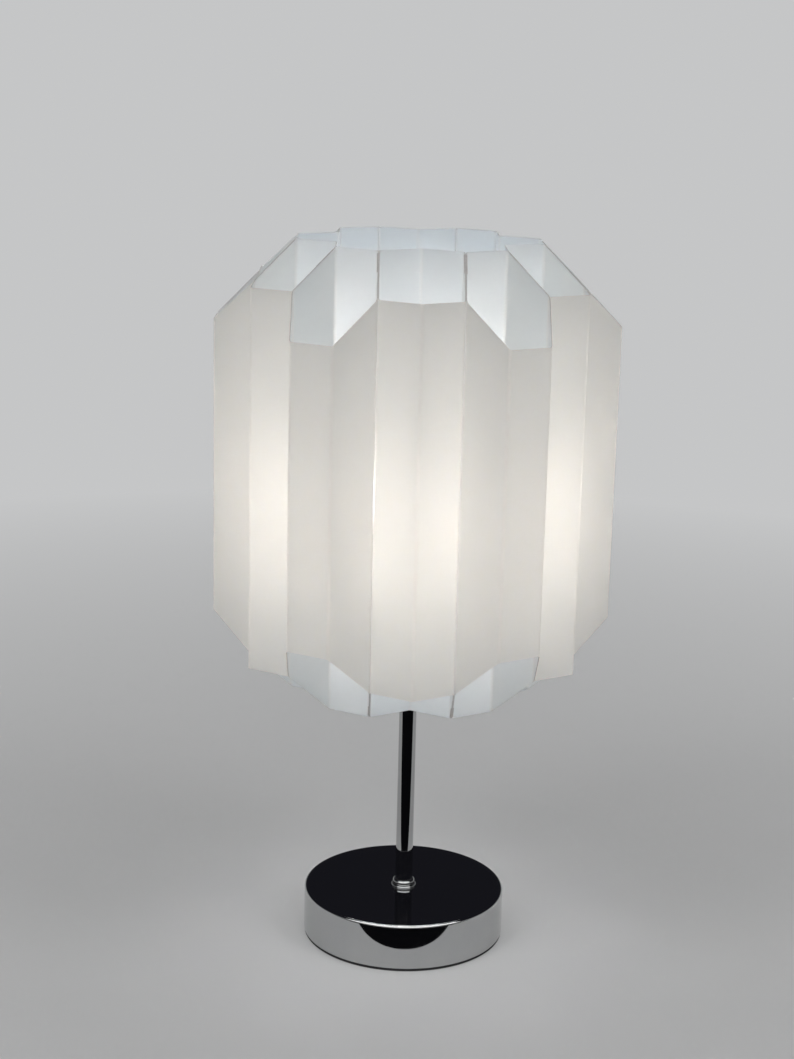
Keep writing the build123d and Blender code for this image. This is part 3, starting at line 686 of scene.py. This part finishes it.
# %% Pole
TURNED_STEPS = 128
POLE_BORE = 5.05 * MM
POLE_FOOT_ROUND, POLE_TOP_ROUND = 0.2 * MM, 0.3 * MM
pole_low, pole_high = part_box("pole")
pole_radius = pole_high.x
pole_section = [(POLE_BORE, pole_low.z), (pole_radius, pole_low.z), (pole_radius, pole_high.z),
                (POLE_BORE, pole_high.z)]
pole = spun(pole_section, {1: POLE_FOOT_ROUND, 2: POLE_TOP_ROUND}, TURNED_STEPS)
finish_spun(pole, "chromed_pole", "pole", "chrome")

# %% [markdown]
# ## The collar
# The collar hides the gap between pole and foot. It is turned from one bar: a thin flange, a neck,
# and a ring whose upper edge is well rounded. Three bright lines show where it catches the light,
# one from each of them. A plain ring with a bevel shows only one, so the section has all three.

# %% Collar
COLLAR_SECTION = [(6.05, 0), (8.6, 0), (8.6, 0.9), (6.8, 0.9), (6.8, 1.6), (7.7, 1.6), (7.7, 4.3),
                  (6.05, 4.3)]  # radius and height above the foot, in millimetres
COLLAR_ROUNDS = {2: 0.7, 3: 0.45, 5: 0.35, 6: 1.35}  # flange, neck, and the ring's two edges
collar_section = [(radius * MM, foot_top + height * MM) for radius, height in COLLAR_SECTION]
collar = spun(collar_section, {number: size * MM for number, size in COLLAR_ROUNDS.items()},
              TURNED_STEPS)
finish_spun(collar, "chromed_collar", "pole_collar", "chrome")

# %% [markdown]
# ## The pad
# The lamp stands on a disc of foam. Only its edge shows, as a black line under the chrome, so the
# disc reaches almost to the cover's wall. A stamped disc has slightly rounded edges, wider at the
# bottom, where it carries the lamp.

# %% Pad
PAD_MARGIN = 0.4 * MM  # how far the pad's edge stays inside the cover's wall
PAD_STEPS = 160
PAD_FOOT_ROUND, PAD_TOP_ROUND = 0.5 * MM, 0.3 * MM
pad_edge = foot_radius - PAD_MARGIN
pad = spun([(0, 0), (pad_edge, 0), (pad_edge, cover_edge), (0, cover_edge)],
           {1: PAD_FOOT_ROUND, 2: PAD_TOP_ROUND}, PAD_STEPS)
finish_spun(pad, "soft_pad", "foot_pad", "foot_pad_foam")

# %% [markdown]
# ## Studio: the floor
# The lamp stands on a plain pale floor that runs into a background of the same tone. A curved
# backdrop could hide the horizon, but mirrors would show its curve. So the floor is a wide disc
# that fades into the background's own tone away from the lamp, for the camera and for reflections
# only. For the light it stays a plain matt floor, and it keeps the lamp's shadow.

# %% Floor finish
BACKGROUND = (0.56, 0.565, 0.57)
FLOOR_COLOUR = (0.74, 0.742, 0.746)
FLOOR_LEVELS = 1.0, 0.985
FLOOR_ROUGHNESS, FLOOR_SHINE = 0.75, 0.2
FLOOR_BLOT, FLOOR_DETAIL = 60 * MM, 4.0
FLOOR_FADE = (0.25, 1.4)  # metres from the lamp where the floor becomes background
FLOOR_LIFT = 0.35  # the background's share of the floor's tone close to the lamp


def seen_directly_or_mirrored(tree):
    """1 for rays from the camera and from mirrors, 0 for those that carry light."""
    rays = add_node(tree, "ShaderNodeLightPath").outputs
    return calculate(tree, "MAXIMUM", rays["Is Camera Ray"], rays["Is Glossy Ray"])


def floor_finish():
    """A matt floor that fades into the background's own tone far from the lamp."""
    material, tree, shader = new_finish("floor", Roughness=FLOOR_ROUGHNESS,
                                        Specular_IOR_Level=FLOOR_SHINE)
    patches = between(tree, noise(tree, FLOOR_BLOT, FLOOR_DETAIL), 0, 1)
    colours = [tuple(c * level for c in FLOOR_COLOUR) for level in FLOOR_LEVELS]
    tree.links.new(mix_colours(tree, patches, *colours), shader.inputs["Base Color"])
    place = add_node(tree, "ShaderNodeTexCoord")
    distance = add_node(tree, "ShaderNodeVectorMath", operation="LENGTH")
    tree.links.new(place.outputs["Object"], distance.inputs[0])
    far = between(tree, distance.outputs["Value"], FLOOR_LIFT, 1, *FLOOR_FADE)
    fade = calculate(tree, "MULTIPLY", far, seen_directly_or_mirrored(tree))
    tone = add_node(tree, "ShaderNodeEmission", Color=(*BACKGROUND, 1))
    faded = mix_shaders(tree, fade, shader.outputs["BSDF"], tone.outputs["Emission"])
    tree.links.new(faded, tree.nodes["Material Output"].inputs["Surface"])
    return material


# %% Floor
FLOOR_RADIUS = 14.0
FLOOR_SIDES = 96


def stage_piece(name, bm, material):
    """Links a mesh as part of the stage."""
    mesh = bpy.data.meshes.new(name)
    bm.to_mesh(mesh)
    bm.free()
    mesh.materials.append(material)
    piece = bpy.data.objects.new(name, mesh)
    bpy.context.scene.collection.objects.link(piece)
    return piece


floor_bm = bmesh.new()
bmesh.ops.create_circle(floor_bm, cap_ends=True, segments=FLOOR_SIDES, radius=FLOOR_RADIUS)
stage_piece("floor", floor_bm, floor_finish())
print("floor fades from", *FLOOR_FADE, "m")

# %% [markdown]
# ## Studio: a card and a roof for the chrome
# Chrome shows only what stands round it. Photographers lay a black card before it for dark bands,
# and hang a white roof over it for thin white lines. The card's near edge gives the foot its dark
# bell, and the pole its dark middle. The roof's lower edge gives the lines on the foot's rim and on
# the collar. Both could light or darken the paper too, so only reflections see them.

# %% Black card
CARD_NEAR_EDGE = -0.104
CARD_SIZE = (3.2, 1.5)
CARD_HEIGHT = 0.4 * MM
card_bm = bmesh.new()
bmesh.ops.create_grid(card_bm, x_segments=1, y_segments=1, size=0.5)  # a square of 1 m
bmesh.ops.scale(card_bm, vec=(*CARD_SIZE, 1), verts=card_bm.verts[:])
bmesh.ops.translate(card_bm, vec=(0, CARD_NEAR_EDGE - CARD_SIZE[1] / 2, CARD_HEIGHT),
                    verts=card_bm.verts[:])
card_finish = mottled_finish("black_card", colours=((0.008, 0.008, 0.01), (0.01, 0.01, 0.012)),
                             blot=100 * MM, roughness=(0.9, 1.0), grain=1 * MM,
                             grain_depth=0.05 * MM, Specular_IOR_Level=0.0)
card = stage_piece("black_card", card_bm, card_finish)

# %% White roof
ROOF_EDGE = (2.12, 1.13)  # radius and height of the roof's lower edge
ROOF_TOP = (0.02, 2.6)
ROOF_HALF_ANGLE = math.radians(70)
ROOF_STEPS = 32
ROOF_STRENGTH = 1.75
roof_bm = bmesh.new()
roof_start = Matrix.Rotation(-math.pi / 2 - ROOF_HALF_ANGLE, 3, "Z")
roof_ends = [roof_bm.verts.new(roof_start @ Vector((radius, 0, height)))
             for radius, height in (ROOF_EDGE, ROOF_TOP)]
roof_bm.edges.new(roof_ends)
bmesh.ops.spin(roof_bm, geom=roof_bm.verts[:] + roof_bm.edges[:], cent=(0, 0, 0), axis=(0, 0, 1),
               angle=2 * ROOF_HALF_ANGLE, steps=ROOF_STEPS, use_merge=False)
roof_finish, _, _ = new_finish("white_roof", Base_Color=(0, 0, 0, 1), Emission_Color=(1, 1, 1, 1),
                               Emission_Strength=ROOF_STRENGTH)
roof = stage_piece("white_roof", roof_bm, roof_finish)
for mirrored_only in (card, roof):
    mirrored_only.visible_camera = mirrored_only.visible_diffuse = False
    mirrored_only.visible_shadow = mirrored_only.visible_transmission = False
    mirrored_only.visible_volume_scatter = False
print("reflections see", card.name, "and", roof.name)

# %% [markdown]
# ## Studio: the world
# The world has two faces. For the light it is an even, faint glow from all sides. What the camera
# and the chrome see is the background's tone, which turns dark high up, so that the foot's top
# mirrors darkness. Light that passes through the paper is both transmitted and diffuse, and belongs
# with the light: only clear transmission, as through glass, sees the background.

# %% World
AMBIENT_COLOUR = (1.0, 0.995, 0.985, 1)
AMBIENT_STRENGTH = 0.12
STUDIO_TOP = (0.012, 0.012, 0.016)
DARKENS = (0.10, 0.30)  # the sines of the elevations between which the studio darkens

world = bpy.data.worlds.new("studio")
world.use_nodes = True
bpy.context.scene.world = world
world_tree = world.node_tree
ambient = world_tree.nodes["Background"]
ambient.inputs["Color"].default_value = AMBIENT_COLOUR
ambient.inputs["Strength"].default_value = AMBIENT_STRENGTH
sky_place = add_node(world_tree, "ShaderNodeTexCoord")
sky_height = add_node(world_tree, "ShaderNodeSeparateXYZ")
world_tree.links.new(sky_place.outputs["Generated"], sky_height.inputs[0])
darkness = between(world_tree, sky_height.outputs["Z"], 0, 1, *DARKENS)
shown = add_node(world_tree, "ShaderNodeBackground")
world_tree.links.new(mix_colours(world_tree, darkness, BACKGROUND, STUDIO_TOP),
                     shown.inputs["Color"])
rays = add_node(world_tree, "ShaderNodeLightPath").outputs
clear = calculate(world_tree, "SUBTRACT", rays["Is Transmission Ray"], rays["Is Diffuse Ray"],
                  use_clamp=True)
seen = calculate(world_tree, "MAXIMUM", clear, seen_directly_or_mirrored(world_tree))
both = mix_shaders(world_tree, seen, ambient.outputs[0], shown.outputs[0])
world_tree.links.new(both, world_tree.nodes["World Output"].inputs["Surface"])
print("studio's light", AMBIENT_STRENGTH, "background", BACKGROUND)

# %% [markdown]
# ## Studio: soft lamps
# Three wide discs light the lamp from outside. One disc would do for the paper, but the chrome and
# the floor look best with light from both sides, a little stronger from the left, and with a weak
# one from above that fills the shade's upper steps.

# %% Soft lamps
SOFT_LAMPS = {  # name: place, width, watts
    "soft_left": ((-1.2, -1.0, 1.9), 0.9, 8.4),
    "soft_right": ((1.3, -0.8, 1.8), 0.9, 7.4),
    "soft_top": ((0.0, 0.25, 1.9), 1.2, 0.8),
}
LIT_POINT = Vector((0, 0, 0.28))
for name, (place, width, watts) in SOFT_LAMPS.items():
    lamp_data = bpy.data.lights.new(name, "AREA")
    lamp_data.shape = "DISK"
    lamp_data.size = width
    lamp_data.energy = watts
    lamp = bpy.data.objects.new(name, lamp_data)
    bpy.context.scene.collection.objects.link(lamp)
    lamp.location = place
    lamp.rotation_euler = (LIT_POINT - Vector(place)).to_track_quat("-Z", "Y").to_euler()
    print(name, watts, "W,", width, "m wide")

# %% [markdown]
# ## The lit bulb's light
# The glowing globe could light the paper by itself, but a bright mesh renders with much grain. So
# the light comes from a round lamp of nearly the same size in the same place, just outside the
# globe. A bulb of this kind throws less light straight up than sideways, and a fade does the same.
# Light takes two steps through each sheet and goes to and fro between the walls. Four steps, which
# is the usual number, leave the inside too dark, so it may take ten.

# %% The lit bulb's light
BULB_WATTS = 0.455
LIGHT_STRAIGHT_UP = 0.06  # share of the light that goes straight up, against what goes sideways
UPWARD_FADE = (0.05, 0.85)  # the direction's height between which the light falls to that share
LIGHT_STEPS = 10
OUTSIDE_GLOBE = 0.5 * MM
globe_low, globe_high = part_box("bulb_globe")
globe_radius = (globe_high.x - globe_low.x) / 2
glow_data = bpy.data.lights.new("bulb_glow", "POINT")
glow_data.energy = BULB_WATTS
glow_data.color = BULB_COLOUR[:3]
glow_data.use_soft_falloff = False  # a real ball of light, not one that fades towards its rim
glow_data.shadow_soft_size = globe_radius + OUTSIDE_GLOBE
glow_data.use_nodes = True
glow_tree = glow_data.node_tree
glow_place = add_node(glow_tree, "ShaderNodeTexCoord")
glow_height = add_node(glow_tree, "ShaderNodeSeparateXYZ")
glow_tree.links.new(glow_place.outputs["Normal"], glow_height.inputs[0])
upward = between(glow_tree, glow_height.outputs["Z"], 1, LIGHT_STRAIGHT_UP, *UPWARD_FADE)
glow_tree.links.new(upward, glow_tree.nodes["Emission"].inputs["Strength"])
glow = bpy.data.objects.new("bulb_glow", glow_data)
bpy.context.scene.collection.objects.link(glow)
glow.location = (0, 0, globe_high.z - globe_radius)
glow.visible_camera = glow.visible_glossy = False
bpy.context.scene.cycles.diffuse_bounces = LIGHT_STEPS
print("bulb glows", BULB_WATTS, "W from", [round(v, 3) for v in glow.location])
